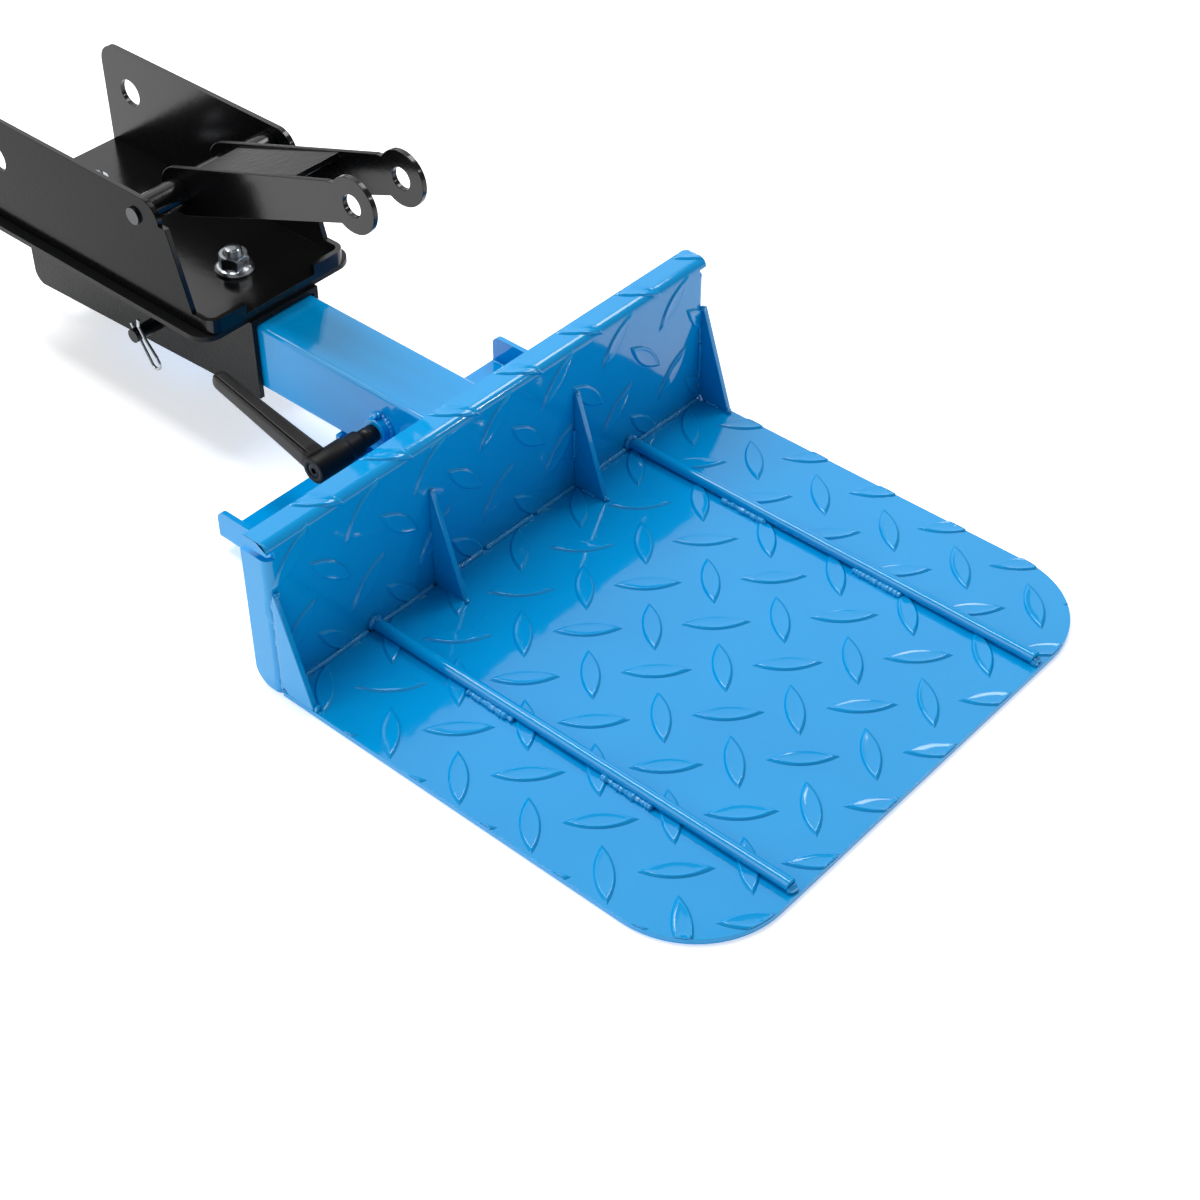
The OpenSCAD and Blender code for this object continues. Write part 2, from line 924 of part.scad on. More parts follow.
// Wire clip: a straight leg through the pin, a round head, and an outer leg that
// leans in to pass close beside the pin and flares at its tip
module spring_clip() {
  w = clip_d / 2;
  ball = w * 1.04;
  leg_top = hitch_r + 3;
  head_z = leg_top - clip_l;
  beside = hitch_r + w + slide_gap;
  out = 2 * clip_head_r;
  bends = [
    [out, head_z], [out, head_z + 3], [beside, -hitch_r], [beside, hitch_r], [beside + 2.5, leg_top],
  ];
  color("silver")
    clip_frame()
      union() {
        translate([0, 0, head_z])
          cylinder(r = w, h = clip_l);
        translate([clip_head_r, 0, head_z])
          rotate([90, 0, 0])
            rotate([0, 0, 180])
              rotate_extrude(angle = 180)
                translate([clip_head_r, 0])
                  circle(r = w);
        for (i = [0 : len(bends) - 2])
          wire_run(bends[i], bends[i + 1], w);
        for (i = [1 : len(bends) - 1])
          translate([bends[i][0], 0, bends[i][1]])
            sphere(r = ball);
      }
}

// A straight piece of wire in the clip's plane, from point a to point b
module wire_run(a, b, w) {
  run = b - a;
  translate([a[0], 0, a[1]])
    rotate([0, atan2(run[0], run[1]), 0])
      cylinder(r = w, h = norm(run));
}

// ---------- nodes ----------

deck_plate();
wall_plate();
end_gusset_left();
end_gusset_right();
mid_gusset_left();
mid_gusset_right();
wheel_stop_rod_left();
wheel_stop_rod_right();
tray_welds();
rear_channel();
saddle_plate();
spigot_tube();
arm_tube();
clamp_boss();
lever_stud();
lever_screw();
lever_spring();
lever_handle();
receiver_channel();
receiver_keepers();
base_plate();
pivot_bracket();
weld_studs();
flange_nuts();
lock_screw();
pivot_pin();
lift_link();
link_bush();
hitch_pin();
spring_clip();
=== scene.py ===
import math
import bpy
import numpy as np
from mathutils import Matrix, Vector


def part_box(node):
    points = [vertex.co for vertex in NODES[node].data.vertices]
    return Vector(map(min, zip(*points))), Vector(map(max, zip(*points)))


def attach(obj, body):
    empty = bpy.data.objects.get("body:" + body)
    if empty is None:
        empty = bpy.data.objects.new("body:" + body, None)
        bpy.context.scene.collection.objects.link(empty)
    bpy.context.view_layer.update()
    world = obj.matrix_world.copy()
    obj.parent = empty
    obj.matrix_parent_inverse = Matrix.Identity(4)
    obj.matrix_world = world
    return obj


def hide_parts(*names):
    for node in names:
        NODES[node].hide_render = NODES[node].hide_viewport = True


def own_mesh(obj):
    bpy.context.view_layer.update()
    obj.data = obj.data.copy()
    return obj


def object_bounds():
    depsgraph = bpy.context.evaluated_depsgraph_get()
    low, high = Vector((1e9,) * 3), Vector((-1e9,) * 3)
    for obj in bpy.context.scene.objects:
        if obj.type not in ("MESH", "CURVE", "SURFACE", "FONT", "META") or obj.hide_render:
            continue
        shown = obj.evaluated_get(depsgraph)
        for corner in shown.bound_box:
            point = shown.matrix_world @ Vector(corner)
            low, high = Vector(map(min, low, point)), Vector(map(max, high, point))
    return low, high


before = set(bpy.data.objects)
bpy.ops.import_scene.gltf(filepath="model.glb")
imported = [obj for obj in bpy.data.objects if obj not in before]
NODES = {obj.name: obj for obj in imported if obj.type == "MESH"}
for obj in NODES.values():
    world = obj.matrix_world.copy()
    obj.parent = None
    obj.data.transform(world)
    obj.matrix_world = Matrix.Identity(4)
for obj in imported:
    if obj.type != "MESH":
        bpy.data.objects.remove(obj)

cad_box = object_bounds()

# ---------------------------------------------------------------- studio
# A white paper floor under a white sky, with broad soft boxes for the gloss. The camera
# stands about a metre off, ahead of the tray and to its left, and looks down on it.

MM = 0.001


def linear(code):
    """sRGB hex to linear light: c/12.92 below 0.04045, else ((c + 0.055)/1.055)^2.4."""
    c = np.array([int(code[i:i + 2], 16) for i in (0, 2, 4)]) / 255.0
    c = np.where(c <= 0.04045, c / 12.92, ((c + 0.055) / 1.055) ** 2.4)
    return (*c.tolist(), 1.0)


def node(material, kind, settings=None, links=None):
    """Adds one shader node: settings go on its properties or sockets, links feed its sockets."""
    tree = material.node_tree
    made = tree.nodes.new("ShaderNode" + kind)
    for name, value in (settings or {}).items():
        if isinstance(name, str) and hasattr(made, name):
            setattr(made, name, value)
        else:
            made.inputs[name].default_value = value
    for name, source in (links or {}).items():
        tree.links.new(source, made.inputs[name])
    return made


def new_material(name, settings):
    """A material with one Principled shader, whose fixed values are set on its own sockets."""
    made = bpy.data.materials.new(name)
    made.use_nodes = True
    shader = made.node_tree.nodes["Principled BSDF"]
    for socket, value in settings.items():
        shader.inputs[socket].default_value = value
    return made, shader


camera_data = bpy.data.cameras.new("studio_camera")
camera_data.sensor_width = 36.0
camera_data.lens = 67.97
camera_data.clip_start = 0.02
camera_data.clip_end = 50.0
camera = bpy.data.objects.new("studio_camera", camera_data)
bpy.context.scene.collection.objects.link(camera)
camera_place = (621.38, -637.54, 748.51)
camera_turn = (48.3040, -0.03251, 41.2624)
camera.location = Vector(camera_place) * MM
camera.rotation_euler = tuple(math.radians(a) for a in camera_turn)
bpy.context.scene.camera = camera

# the paper lies 0.6 mm under the deck, so that the two never share a surface
floor_z = cad_box[0].z - 0.6 * MM
floor_half = 6.0
floor_corners = ((-1, -1), (1, -1), (1, 1), (-1, 1))
floor_mesh = bpy.data.meshes.new("floor")
floor_mesh.from_pydata([(floor_half * x, floor_half * y, floor_z) for x, y in floor_corners],
                       [], [(0, 1, 2, 3)])
floor = bpy.data.objects.new("floor", floor_mesh)
bpy.context.scene.collection.objects.link(floor)
paper, _ = new_material("white_paper", {"Base Color": linear("FAFAFA"), "Roughness": 0.9,
                                        "Specular IOR Level": 0.1,
                                        "Emission Color": (1.0, 1.0, 1.0, 1.0),
                                        "Emission Strength": 0.45})
floor_mesh.materials.append(paper)

sky = bpy.data.worlds.new("white_sky")
sky.use_nodes = True
sky.node_tree.nodes["Background"].inputs["Color"].default_value = (1.0, 1.0, 1.0, 1.0)
sky.node_tree.nodes["Background"].inputs["Strength"].default_value = 0.25
bpy.context.scene.world = sky
bpy.context.scene.view_settings.view_transform = "Standard"


def soft_box(name, place, aim, size, power):
    """A rectangular area light at `place`, facing `aim`; size in metres, power in watts."""
    data = bpy.data.lights.new(name, "AREA")
    data.shape = "RECTANGLE"
    data.size, data.size_y = size
    data.energy = power
    lamp = bpy.data.objects.new(name, data)
    bpy.context.scene.collection.objects.link(lamp)
    lamp.location = place
    lamp.rotation_euler = (Vector(aim) - Vector(place)).to_track_quat("-Z", "Y").to_euler()


# back_box is what the deck and the arm's top mirror, and key_box lights them from above;
# front_box is small and gives only the glints on welds, rods and lug rims
middle = (0.05, 0.0, 0.03)
soft_box("back_box", (-1.3, 1.0, 1.2), middle, (2.2, 1.6), 12)
soft_box("left_box", (-0.9, -1.7, 1.0), middle, (1.5, 1.2), 15)
soft_box("key_box", (-0.75, 0.0, 1.75), middle, (0.5, 1.3), 22)
soft_box("far_box", (0.0, 1.0, 1.4), middle, (0.6, 0.35), 6)
soft_box("front_box", (1.2, 1.0, 0.95), middle, (0.09, 0.09), 1.5)

# ---------------------------------------------------------------- blue powder coat
# Polyester powder over mild steel plate, sprayed on and baked. It flows out to a glossy
# skin with a slow ripple, rounds every edge a little, and looks paler where it is thick.


def object_point(material):
    """The surface point in the piece's own frame, which is the row frame in metres."""
    return node(material, "TexCoord").outputs["Object"]


def powder_coat(name, shade, deep, roughness, grain, ripple, coat, shine=0.5):
    """Coat: colour drifts between two shades over 60 mm, over an orange peel `grain` apart."""
    made, shader = new_material(name, {"IOR": 1.45, "Coat Weight": coat, "Coat Roughness": 0.03,
                                       "Specular IOR Level": shine})
    at = object_point(made)
    drift = node(made, "TexNoise", {"Scale": 16.0, "Detail": 2.0}, {"Vector": at})
    tone = node(made, "MixRGB", {"Color1": linear(shade), "Color2": linear(deep)},
                {"Fac": drift.outputs["Fac"]})
    peel = node(made, "TexNoise", {"Scale": 1.0 / grain, "Detail": 2.0}, {"Vector": at})
    haze = node(made, "MapRange", {"To Min": roughness * 0.8, "To Max": roughness * 1.25},
                {"Value": drift.outputs["Fac"]})
    bump = node(made, "Bump", {"Strength": ripple, "Distance": 0.0004},
                {"Height": peel.outputs["Fac"]})
    links = made.node_tree.links
    links.new(tone.outputs["Color"], shader.inputs["Base Color"])
    links.new(haze.outputs["Result"], shader.inputs["Roughness"])
    links.new(bump.outputs["Normal"], shader.inputs["Normal"])
    return made


BLUE = powder_coat("blue_powder_coat", "009DE0", "0092D6", 0.065, 0.006, 0.07, 0.1)


def dress(names, material, edge=0.0004, segments=2):
    """Gives CAD nodes a material, welds their loose triangles and rounds their edges by `edge`."""
    for name in names:
        piece = NODES[name]
        piece.data.materials.clear()
        piece.data.materials.append(material)
        weld = piece.modifiers.new("join_faces", "WELD")
        weld.merge_threshold = 1e-6
        soft = piece.modifiers.new("soft_edge", "BEVEL")
        soft.width = edge
        soft.segments = segments
        soft.limit_method = "ANGLE"
        soft.angle_limit = math.radians(35)
        piece.data.polygons.foreach_set("use_smooth", np.full(len(piece.data.polygons), True))
        piece.modifiers.new("flat_faces", "WEIGHTED_NORMAL")


dress(["deck_plate", "end_gusset_left", "end_gusset_right", "mid_gusset_left",
       "mid_gusset_right", "rear_channel", "saddle_plate"], BLUE, 0.0007, 3)
dress(["wall_plate", "wheel_stop_rod_left", "wheel_stop_rod_right", "spigot_tube", "arm_tube"],
      BLUE, 0.0004)

# ---------------------------------------------------------------- tread lugs
# The lugs are rolled into the plate while it is hot: pointed ovals about a millimetre high
# with soft feet. The pattern runs on over the folds and is cut where the sheet is cut.


def shell(name, points, faces, material, body, slot, smooth=True):
    """A mesh piece from arrays of points in millimetres and of face corners, on a CAD body."""
    mesh = bpy.data.meshes.new(name)
    mesh.from_pydata((np.asarray(points) * MM).tolist(), [], [tuple(f) for f in faces])
    mesh.materials.append(material)
    mesh.polygons.foreach_set("use_smooth", np.full(len(mesh.polygons), smooth))
    mesh.update()
    piece = bpy.data.objects.new(name, mesh)
    bpy.context.scene.collection.objects.link(piece)
    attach(piece, body)
    return piece


def closed_rings(rings):
    """Faces that skin a stack of rings into a closed form. `rings` is (n, m, 3): n rings of m
    points; the first and last rings shrink to one point each, added as two extra vertices."""
    n, m = rings.shape[:2]
    k = np.arange(m)
    nxt = (k + 1) % m
    base = (np.arange(n - 1) * m)[:, None]
    quads = np.stack([base + k, base + nxt, base + m + nxt, base + m + k], -1).reshape(-1, 4)
    first, last = n * m, n * m + 1
    caps = np.concatenate([np.stack([nxt, k, np.full(m, first)], -1),
                           np.stack([(n - 1) * m + k, (n - 1) * m + nxt, np.full(m, last)], -1)])
    points = np.concatenate([rings.reshape(-1, 3), rings[:1].mean(1), rings[-1:].mean(1)])
    return points, quads.tolist() + caps.tolist()


def join_parts(parts):
    """Several (points, faces) pairs as one, with the face numbers moved along."""
    points, faces, count = [], [], 0
    for p, f in parts:
        points.append(p)
        faces += [[i + count for i in face] for face in f]
        count += len(p)
    return np.concatenate(points), faces


deck_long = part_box("deck_plate")[1][0] / MM
half_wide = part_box("deck_plate")[1][1] / MM
deck_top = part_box("wheel_stop_rod_right")[0][2] / MM
wall_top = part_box("wall_plate")[1][2] / MM
flange_edge = 14.5
fold_r = 5.0
corner_r = 49.0
lug_long, lug_wide, lug_high = 34.6, 9.8, 1.0

turn = np.linspace(0, 2 * np.pi, 56, endpoint=False)
lens_r = (lug_long ** 2 + lug_wide ** 2) / (4 * lug_wide)
lens_x = lug_long / 2 * np.cos(turn)
lens_y = np.sign(np.sin(turn)) * (np.sqrt(np.maximum(lens_r ** 2 - lens_x ** 2, 0))
                                  - (lens_r - lug_wide / 2))
# share of the outline against height: a buried foot, a short slope, a rim and a sunk middle
lug_share = np.array([0.3, 1.0, 1.0, 0.95, 0.89, 0.83, 0.78, 0.72, 0.62, 0.3])
lug_rise = np.array([-0.3, -0.3, 0.0, 0.20, 0.62, 0.92, 1.0, 0.97, 0.88, 0.84]) * lug_high


def past_edge(s, y):
    """How far a point lies past the deck's outline, whose front corners are round; minus inside."""
    dx, dy = s - (deck_long - corner_r), np.abs(y) - (half_wide - corner_r)
    return np.where((dx > 0) & (dy > 0), np.hypot(dx, dy), np.maximum(dx, dy)) - corner_r


def trimmed(px, py, spots):
    """Draws points that lie past the outline back along the line to the lug's middle or inner
    tip, whichever is inside, until they stand 0.3 from the edge. Halving finds each share."""
    inside = [p for p in spots if past_edge(*p) < -0.8]
    if not inside:
        return None
    ax, ay = inside[0]
    low_t, high_t = np.zeros(px.shape), np.ones(px.shape)
    for _ in range(22):
        t = (low_t + high_t) / 2
        out = past_edge(ax + (px - ax) * t, ay + (py - ay) * t) > -0.3
        low_t, high_t = np.where(out, low_t, t), np.where(out, t, high_t)
    t = np.where(past_edge(px, py) > -0.3, low_t, 1.0)
    return ax + (px - ax) * t, ay + (py - ay) * t


def on_deck(s, y, h):
    """Sheet distance s from the wall's face and y along it, to space."""
    return np.stack([np.maximum(s, -0.5), y, deck_top + h], -1)


def on_wall(s, y, h):
    """Sheet distance -s up the wall, round the top fold of radius 5 and back over the flange.
    Towards the ends y runs round the side folds, and the lug fades out there and at the
    flange's rear edge."""
    up = np.clip(-s, 0.0, None)
    straight = wall_top - deck_top - fold_r
    bend = np.clip((up - straight) / fold_r, 0, np.pi / 2)
    back = up - straight - fold_r * np.pi / 2
    rear = np.clip((flange_edge - fold_r - back) / 2.5, 0, 1)
    side_run = np.abs(y) - (half_wide - fold_r)
    round_side = up < straight
    side = np.where(round_side, np.clip(side_run / fold_r, 0, np.pi / 2), 0)
    end = np.where(round_side, 1.0, np.clip((half_wide - np.abs(y)) / 2.5, 0, 1))
    h = np.where(h > 0, h * rear * end * np.cos(side) ** 2, h)
    out = fold_r * (1 - np.cos(side)) - h * np.cos(side)
    x = np.where(round_side, -out, -fold_r + (fold_r + h) * np.cos(bend)
                 - np.clip(back, 0, flange_edge - fold_r))
    wide = np.where(round_side & (side_run > 0), half_wide - fold_r + (fold_r + h) * np.sin(side),
                    np.minimum(np.abs(y), half_wide))
    z = deck_top + np.minimum(up, straight) + (fold_r + h) * np.sin(bend)
    return np.stack([x, np.sign(y) * wide, z], -1)


def tread(place, rows, trim, first=13.7, shift=-6.1, pitch=(22.0, 22.65)):
    """Closed lugs on every second point of a lattice; odd rows lie across the even ones."""
    parts = []
    for i in rows:
        for j in range(-8, 9):
            cx, cy = first + pitch[0] * i, shift + pitch[1] * j
            if (i + j) % 2 or abs(cy) > half_wide + 9 or cx > deck_long + 9:
                continue
            lean = math.radians(-45 if i % 2 == 0 else 45)
            px = lug_share[:, None] * (lens_x * math.cos(lean) - lens_y * math.sin(lean)) + cx
            py = lug_share[:, None] * (lens_x * math.sin(lean) + lens_y * math.cos(lean)) + cy
            tip = 0.45 * lug_long * np.array([math.cos(lean), math.sin(lean)])
            spots = [(cx, cy), (cx - tip[0], cy - tip[1]), (cx + tip[0], cy + tip[1])]
            kept = trimmed(px, py, spots) if trim else (px, py)
            if kept is None:
                continue
            px, py = kept
            rise = np.broadcast_to(lug_rise[:, None], px.shape)
            parts.append(closed_rings(place(px, py, rise)))
    return join_parts(parts)


shell("deck_tread", *tread(on_deck, range(-1, 13), True), BLUE, "tray", "blue_coat")
shell("wall_tread", *tread(on_wall, range(-5, 1), False), BLUE, "tray", "blue_coat")

# ---------------------------------------------------------------- weld beads
# Short runs of gas-shielded weld, painted over with the rest. Each run is a row of small
# overlapping puddles, so the bead is rippled, uneven in width, and blunt at its ends.

rough_hand = np.random.default_rng(7)


def bead(path, radius, pitch=1.5, wobble=0.18, sides=14):
    """A closed tube along `path`: radius times a dome that falls to zero at the ends, times
    0.92 + ripple (0.26 |sin|, one hump per puddle) + wobble times a slow noise."""
    path = np.asarray(path, float)
    seg = np.linalg.norm(np.diff(path, axis=0), axis=1)
    run = np.concatenate([[0], np.cumsum(seg)])
    total = run[-1]
    n = max(int(total / 0.35), 14)
    at = np.linspace(0, total, n)
    line = np.stack([np.interp(at, run, path[:, k]) for k in range(3)], -1)
    knots = max(int(total / 3.0), 3) + 2
    slow = np.interp(at, np.linspace(0, total, knots), rough_hand.uniform(-1, 1, knots))
    sway = np.interp(at, np.linspace(0, total, knots), rough_hand.uniform(-1, 1, knots))
    ends = np.minimum(at, total - at)
    dome = np.sqrt(np.clip(1 - (1 - np.clip(ends / radius, 0, 1)) ** 2, 0.0, 1))
    ripple = np.abs(np.sin(np.pi * at / pitch + slow)) * 0.26
    r = radius * (dome * (0.92 + ripple + wobble * slow)) + 0.02
    along = np.gradient(line, axis=0)
    along /= np.linalg.norm(along, axis=1)[:, None]
    up = np.array([0.0, 0.0, 1.0]) if abs(along[n // 2][2]) < 0.8 else np.array([1.0, 0.0, 0.0])
    u = np.cross(along, up)
    u /= np.linalg.norm(u, axis=1)[:, None]
    v = np.cross(u, along)
    line = line + u * (sway * 0.2 * radius)[:, None]
    a = np.linspace(0, 2 * np.pi, sides, endpoint=False)
    spoke = np.cos(a)[None, :, None] * u[:, None, :] - np.sin(a)[None, :, None] * v[:, None, :]
    return closed_rings(line[:, None, :] + r[:, None, None] * spoke)


def line_to(a, b, n=12):
    """Evenly spaced points from a to b."""
    return np.array(a) + (np.array(b) - np.array(a)) * np.linspace(0, 1, n)[:, None]


def middle_y(name):
    """Half way between a node's two sides, in millimetres along Y."""
    return (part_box(name)[0][1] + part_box(name)[1][1]) / 2 / MM


rod_y = middle_y("wheel_stop_rod_right")
rod_low, rod_high = (corner[2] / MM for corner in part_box("wheel_stop_rod_right"))
rod_r = (rod_high - rod_low) / 2
rod_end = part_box("wheel_stop_rod_right")[1][0] / MM
gusset_half = 1.5
gusset_y = (middle_y("mid_gusset_right"), middle_y("end_gusset_right"))
corner_y = 153.7

runs = []
# along the wall's base, with gaps where the rods and gussets stand
for y0, y1 in ((-151, -100), (-91, -55), (-50, -20), (-18, 18), (20, 50), (55, 91), (100, 151)):
    runs.append(bead(line_to((0.7, y0, deck_top + 0.7), (0.7, y1, deck_top + 0.7)), 1.35))
for side in (-1, 1):
    y = side * rod_y
    # two stitches along each rod's nearer side
    near = y - rod_r - 0.5
    for x0, x1 in ((66, 96), (150, 181)):
        runs.append(bead(line_to((x0, near, deck_top + 0.9), (x1, near, deck_top + 0.9)), 1.5,
                         pitch=2.4, wobble=0.3))
    # round the rod where it meets the wall, a blob on its top, and a bead across its front end
    arc = np.linspace(0.1 * np.pi, -0.75 * np.pi, 14)
    round_r = rod_r + 0.2
    runs.append(bead(np.stack([np.full(14, 0.9), y + round_r * np.sin(arc),
                               deck_top + rod_r + round_r * np.cos(arc)], -1),
                     1.5, pitch=1.2, wobble=0.35))
    runs.append(bead(line_to((1.0, y - 1.2, rod_high + 0.6), (3.6, y + 1.6, rod_high - 0.2)), 1.9,
                     pitch=1.1, wobble=0.5))
    runs.append(bead(line_to((rod_end + 0.6, y - 3.0, deck_top + 1.2),
                             (rod_end + 0.6, y + 3.0, deck_top + 1.2)), 1.7, wobble=0.35))
    # up the wall's end, behind the end gusset
    runs.append(bead(line_to((-0.9, side * corner_y, 2.6), (-1.1, side * (corner_y - 0.1), 60)),
                     1.5, wobble=0.1))
    # each gusset: a blob on its top and its toe, and a thin fillet up the wall and on the deck
    for gy in gusset_y:
        inner = side * (gy - gusset_half - 0.6)
        mid = side * min(gy, corner_y - 0.1)
        runs.append(bead(line_to((0.9, mid - 0.6, 63.4), (0.9, mid + 0.6, 61.0)), 1.4, wobble=0.3))
        runs.append(bead(line_to((19.8, mid - 0.7, deck_top + 1.2),
                                 (22.6, mid + 0.5, deck_top + 0.4)), 1.6, wobble=0.4))
        runs.append(bead(line_to((0.6, inner, 22), (0.6, inner, 40)), 0.8))
        runs.append(bead(line_to((6.0, inner, deck_top + 0.5), (15.0, inner, deck_top + 0.5)), 0.8))

# the same coat over the weld's puddles: fine ripples that break the gloss into glints
WELD_BLUE = powder_coat("blue_coat_on_weld", "009DE0", "0092D6", 0.07, 0.0013, 0.35, 1.0)
beads = shell("weld_beads", *join_parts(runs), WELD_BLUE, "tray", "blue_coat")
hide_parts("tray_welds")

# ---------------------------------------------------------------- clamp boss
# A turned steel boss welded on the arm's side by hand, with one tall puddle on top. It is
# painted with the arm.

dress(["clamp_boss"], BLUE, 0.0008, 3)
boss_low, boss_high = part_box("clamp_boss")
boss_r, seam_r, seam_y = 7.5, 7.4, -20.4
boss_x = boss_high[0] / MM - boss_r
boss_z = (boss_low[2] + boss_high[2]) / 2 / MM
ring = np.linspace(-0.9 * np.pi, 0.9 * np.pi, 60)
boss_runs = [
    bead(np.stack([boss_x + seam_r * np.sin(ring), np.full(60, seam_y),
                   boss_z + seam_r * np.cos(ring)], -1), 1.4, pitch=2.0, wobble=0.35),
    bead(line_to((boss_x + 1.0, -20.6, boss_z + 8.2), (boss_x - 0.5, -25.2, boss_z + 9.4)), 1.9,
         wobble=0.4),
]
shell("boss_weld", *join_parts(boss_runs), WELD_BLUE, "arm", "blue_coat")

# ---------------------------------------------------------------- black plate
# Folded and welded 3 mm plate with a black coat. The bracket and link are glossier; the
# receiver and base plate have a fine leathery wrinkle that shows in the light.

BLACK_GLOSS = powder_coat("black_gloss_coat", "0B0B0C", "08090A", 0.17, 0.005, 0.10, 0.0)
BLACK_GRAIN = powder_coat("black_wrinkle_coat", "121314", "0D0E0F", 0.36, 0.0016, 0.42, 0.0,
                          shine=0.22)


def dull_past(material, axis, start, end, plain, dull):
    """Specular level falls from `plain` to `dull` as |x| or |y| goes from start to end metres."""
    apart = node(material, "SeparateXYZ", None, {"Vector": object_point(material)})
    size = node(material, "Math", {"operation": "ABSOLUTE"}, {0: apart.outputs[axis]})
    level = node(material, "MapRange", {"From Min": start, "From Max": end, "To Min": plain,
                                        "To Max": dull}, {"Value": size.outputs["Value"]})
    shader = material.node_tree.nodes["Principled BSDF"]
    material.node_tree.links.new(level.outputs["Result"], shader.inputs["Specular IOR Level"])


# painted shade: the bracket's outer sides get a low specular level, so they mirror little of the
# white floor and stay near black
dull_past(BLACK_GLOSS, "Y", 0.0472, 0.0478, 0.5, 0.12)

dress(["pivot_bracket", "lift_link", "link_bush"], BLACK_GLOSS, 0.0006, 3)
dress(["receiver_channel", "receiver_keepers", "base_plate"], BLACK_GRAIN, 0.0006, 3)

# ---------------------------------------------------------------- clamp lever
# A die-cast lever with a fine matte black coat, on a blackened steel insert. The arm is a
# tapered bar with a groove along its upper near edge; the hub is turned, with a sunk screw.


def grained(name, shade, pale, roughness, grain, ripple, metallic=0.0):
    """A finish whose shade mottles at `grain` metres over a bump of the same size."""
    made, shader = new_material(name, {"Metallic": metallic})
    at = object_point(made)
    fine = node(made, "TexNoise", {"Scale": 1.0 / grain, "Detail": 3.0}, {"Vector": at})
    broad = node(made, "TexNoise", {"Scale": 60.0, "Detail": 2.0}, {"Vector": at})
    tone = node(made, "MixRGB", {"Color1": linear(shade), "Color2": linear(pale)},
                {"Fac": fine.outputs["Fac"]})
    haze = node(made, "MapRange", {"To Min": roughness * 0.8, "To Max": roughness * 1.2},
                {"Value": broad.outputs["Fac"]})
    bump = node(made, "Bump", {"Strength": ripple, "Distance": 0.0002},
                {"Height": fine.outputs["Fac"]})
    links = made.node_tree.links
    links.new(tone.outputs["Color"], shader.inputs["Base Color"])
    links.new(haze.outputs["Result"], shader.inputs["Roughness"])
    links.new(bump.outputs["Normal"], shader.inputs["Normal"])
    return made


CAST_BLACK = grained("matte_cast_black", "09090A", "0E0E0F", 0.44, 0.0008, 0.25)
# the hub has a lower specular level than the arm and so looks darker; the arm starts 8 mm behind
# its axis
dull_past(CAST_BLACK, "X", 0.0745, 0.0765, 0.2, 0.36)
BLACK_OXIDE = grained("black_oxide_steel", "17181A", "202124", 0.34, 0.0006, 0.15, 0.6)


def torus_faces(rings, sides):
    """Faces that join each of `rings` rings of `sides` points to the next, and the last to the
    first, so the form closes on itself both ways."""
    i, k = np.meshgrid(np.arange(rings), np.arange(sides), indexing="ij")
    i2, k2 = (i + 1) % rings, (k + 1) % sides
    quads = np.stack([i * sides + k, i * sides + k2, i2 * sides + k2, i2 * sides + k], -1)
    return quads.reshape(-1, 4).tolist()


def turned(profile, x, z, sides=56):
    """A profile of (radius, y) points swept round the Y axis through x, z. The profile is a
    closed loop, so the form is a ring with a bore and needs no poles."""
    profile = np.asarray(profile, float)
    a = np.linspace(0, 2 * np.pi, sides, endpoint=False)
    across = np.broadcast_to(profile[:, 1:], (len(profile), sides))
    points = np.stack([x + profile[:, :1] * np.cos(a), across,
                       z + profile[:, :1] * np.sin(a)], -1)
    return points.reshape(-1, 3), torus_faces(len(profile), sides)


# radius against y, from the sunk screw's rim over the outside to the bore for the insert
hub = turned([(4.0, -68.1), (4.3, -68.3), (6.5, -68.3), (7.0, -68.1), (7.2, -67.6), (7.2, -60.0),
              (7.3, -59.7), (7.3, -47.5), (7.2, -46.4), (6.9, -45.6), (6.6, -45.2), (6.5, -44.8),
              (6.5, -37.6), (6.2, -36.8), (5.6, -36.3), (4.4, -36.3), (4.3, -36.6), (4.3, -50.2),
              (2.15, -50.2), (2.15, -57.0), (4.0, -57.0)], boss_x, boss_z)

# the bar's section is a rounded box with a groove; its sizes follow the length t from 0 to 1
rise = math.radians(15)
bar_start, bar_long, tip_start = 4.0, 73.0, 0.93
end_t = np.sin(np.linspace(0.1, 1, 12) * np.pi / 2)
long_t = np.concatenate([np.linspace(0, 0.9, 26), 0.9 + 0.1 * end_t])
round_a = np.linspace(0, 2 * np.pi, 120, endpoint=False)
# 1 along the bar, falling as a quarter ellipse to nearly 0 at its tip
tip_share = np.clip(long_t - tip_start, 0, 1) / 0.0701
fade = np.sqrt(np.clip(1 - tip_share ** 2, 0, 1))
half_z = (6.0 - 1.6 * long_t ** 0.7) * (0.35 + 0.65 * fade)
half_y = (5.8 - 2.1 * long_t ** 0.8) * (0.45 + 0.55 * fade)
mid_y = -61.6 - 1.9 * long_t
squareness = 0.42
sec_y = np.sign(np.cos(round_a)) * np.abs(np.cos(round_a)) ** squareness
sec_z = np.sign(np.sin(round_a)) * np.abs(np.sin(round_a)) ** squareness
groove_at, groove_wide, groove_deep = 120, 4.5, 0.20
groove = np.exp(-((np.degrees(round_a) - groove_at) / groove_wide) ** 2)
along = bar_start + long_t * bar_long
cut = 1 - groove_deep * (fade * np.clip(long_t * 8, 0, 1))[:, None] * groove
yy = mid_y[:, None] + half_y[:, None] * sec_y * cut
zz = half_z[:, None] * sec_z * cut
xx = np.broadcast_to(-along[:, None], yy.shape)
bar = np.stack([boss_x + xx * math.cos(rise) + zz * math.sin(rise), yy,
                boss_z - xx * math.sin(rise) + zz * math.cos(rise)], -1)
lever = shell("lever_arm_and_hub", *join_parts([hub, closed_rings(bar)]), CAST_BLACK, "handle",
              "lever_plastic")
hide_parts("lever_handle")


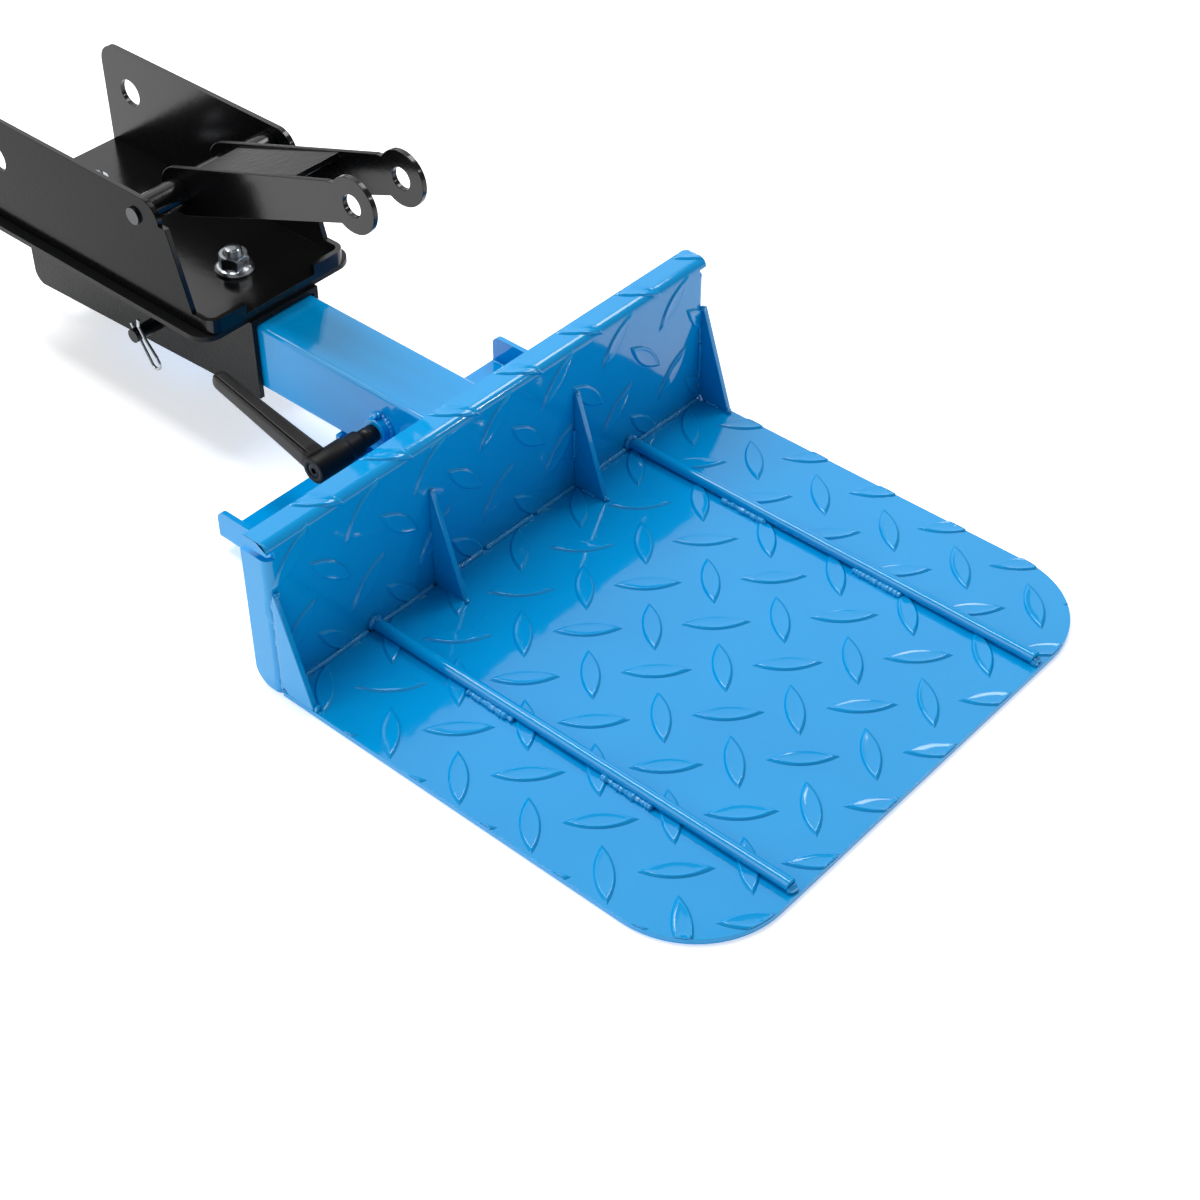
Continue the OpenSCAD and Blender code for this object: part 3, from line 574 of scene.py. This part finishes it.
def thread(x, y, z, axis, length, major, pitch, per_turn=28, chamfer=0.8):
    """A screw thread: radius falls from the crest by 0.55 pitch in a symmetric V, as a helix
    z/pitch - angle/2pi; both ends are chamfered. The form is closed at both ends."""
    depth = 0.55 * pitch
    t = np.linspace(0, length, max(int(length / pitch * 9), 12))
    a = np.linspace(0, 2 * np.pi, per_turn, endpoint=False)
    phase = (t[:, None] / pitch - a[None, :] / (2 * np.pi)) % 1.0
    r = major - depth * (1 - np.abs(2 * phase - 1))
    ends = np.minimum(t, length - t)[:, None]
    r = np.minimum(r, major - depth * 1.05 + ends * (depth / chamfer) * 1.3)
    flat = np.stack([r * np.cos(a), r * np.sin(a), np.broadcast_to(t[:, None], r.shape)], -1)
    flat = np.concatenate([flat[:1] * [0.4, 0.4, 1], flat, flat[-1:] * [0.4, 0.4, 1]])
    if axis == "Y":
        flat = np.stack([flat[..., 0], flat[..., 2], -flat[..., 1]], -1)
    return closed_rings(flat + np.array([x, y, z]))


# the collar and its insert in the hub are one turned ring, from which the M8 thread runs inwards
collar = turned([(3.4, -26.9), (4.6, -26.9), (5.0, -27.3), (5.0, -36.3), (4.15, -36.3),
                 (4.15, -50.3), (2.1, -50.3), (2.1, -36.6), (3.4, -36.6)], boss_x, boss_z)
m8_long, m8_r, m8_pitch = 19.4, 3.98, 1.25
m8_thread = thread(boss_x, -36.5, boss_z, "Y", m8_long, m8_r, m8_pitch)
stud = shell("threaded_stud", *join_parts([collar, m8_thread]), BLACK_OXIDE, "lever", "dark_steel")
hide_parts("lever_stud")
dress(["lever_screw", "lever_spring", "hitch_pin"], BLACK_OXIDE, 0.0003)
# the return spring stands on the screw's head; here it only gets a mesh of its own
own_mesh(NODES["lever_spring"])

# ---------------------------------------------------------------- flange nuts and studs
# Zinc-plated M10 serrated flange nuts on studs welded to the channel. Zinc is bright and
# faintly blue, with a slightly cloudy skin; the nut's corners are turned off at 30 degrees.

ZINC = grained("zinc_plate", "C4C8CC", "AEB3B8", 0.24, 0.0011, 0.10, 1.0)


def flange_nut(x, z0, flat=15.0, flange_r=10.9, high=10.0, bore=5.06, sides=96):
    """A hexagon of radius apothem/cos(angle within a sixth), cut by cones, over a round flange."""
    a = np.linspace(0, 2 * np.pi, sides, endpoint=False)
    hexagon = flat / 2 / np.cos((a + np.pi / 6) % (np.pi / 3) - np.pi / 6)
    corner = flat / 2 / math.cos(math.pi / 6)

    def ring_at(r, z):
        return np.stack([x + r * np.cos(a), r * np.sin(a), np.full(sides, z0 + z)], -1)

    full = np.full(sides, 1.0)
    rings = [ring_at(full * bore, 0.0), ring_at(full * (flange_r - 0.3), 0.0),
             ring_at(full * flange_r, 0.3), ring_at(full * flange_r, 1.3),
             ring_at(full * (flange_r - 0.35), 1.7), ring_at(full * (corner + 0.9), 2.6),
             ring_at(np.maximum(hexagon, corner - 0.35), 3.1), ring_at(hexagon, 3.7)]
    for z, cut in ((high - 1.7, 0.0), (high - 1.0, 0.35), (high - 0.45, 0.75), (high, 1.25)):
        rings.append(ring_at(np.minimum(hexagon, corner - cut), z))
    rings += [ring_at(full * (bore + 0.6), high), ring_at(full * bore, high - 0.6)]
    return np.stack(rings).reshape(-1, 3), torus_faces(len(rings), sides)


stud_x = (-196.0, -310.0)
m10_r, m10_pitch = 4.98, 1.5
nut_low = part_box("flange_nuts")[0][2] / MM
stud_low, stud_high = (v[2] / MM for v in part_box("weld_studs"))
nuts = shell("zinc_flange_nuts", *join_parts([flange_nut(x, nut_low) for x in stud_x]),
             ZINC, "bracket", "zinc", smooth=False)
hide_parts("flange_nuts")
stud_threads = [thread(x, 0.0, stud_low, "Z", stud_high - stud_low, m10_r, m10_pitch)
                for x in stud_x]
studs = shell("zinc_studs", *join_parts(stud_threads), ZINC, "bracket", "zinc")
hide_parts("weld_studs")

# ---------------------------------------------------------------- pins, lock screw, clip
# The pivot pin is plain turned steel, dulled by handling. The lock screw and the spring
# clip are zinc-plated; the clip is bent from 2 mm wire.

PIN_STEEL = grained("turned_steel", "5A5C5E", "46484A", 0.36, 0.0009, 0.10, 1.0)
dress(["pivot_pin"], PIN_STEEL, 0.0005)
dress(["lock_screw", "spring_clip"], ZINC, 0.0003)
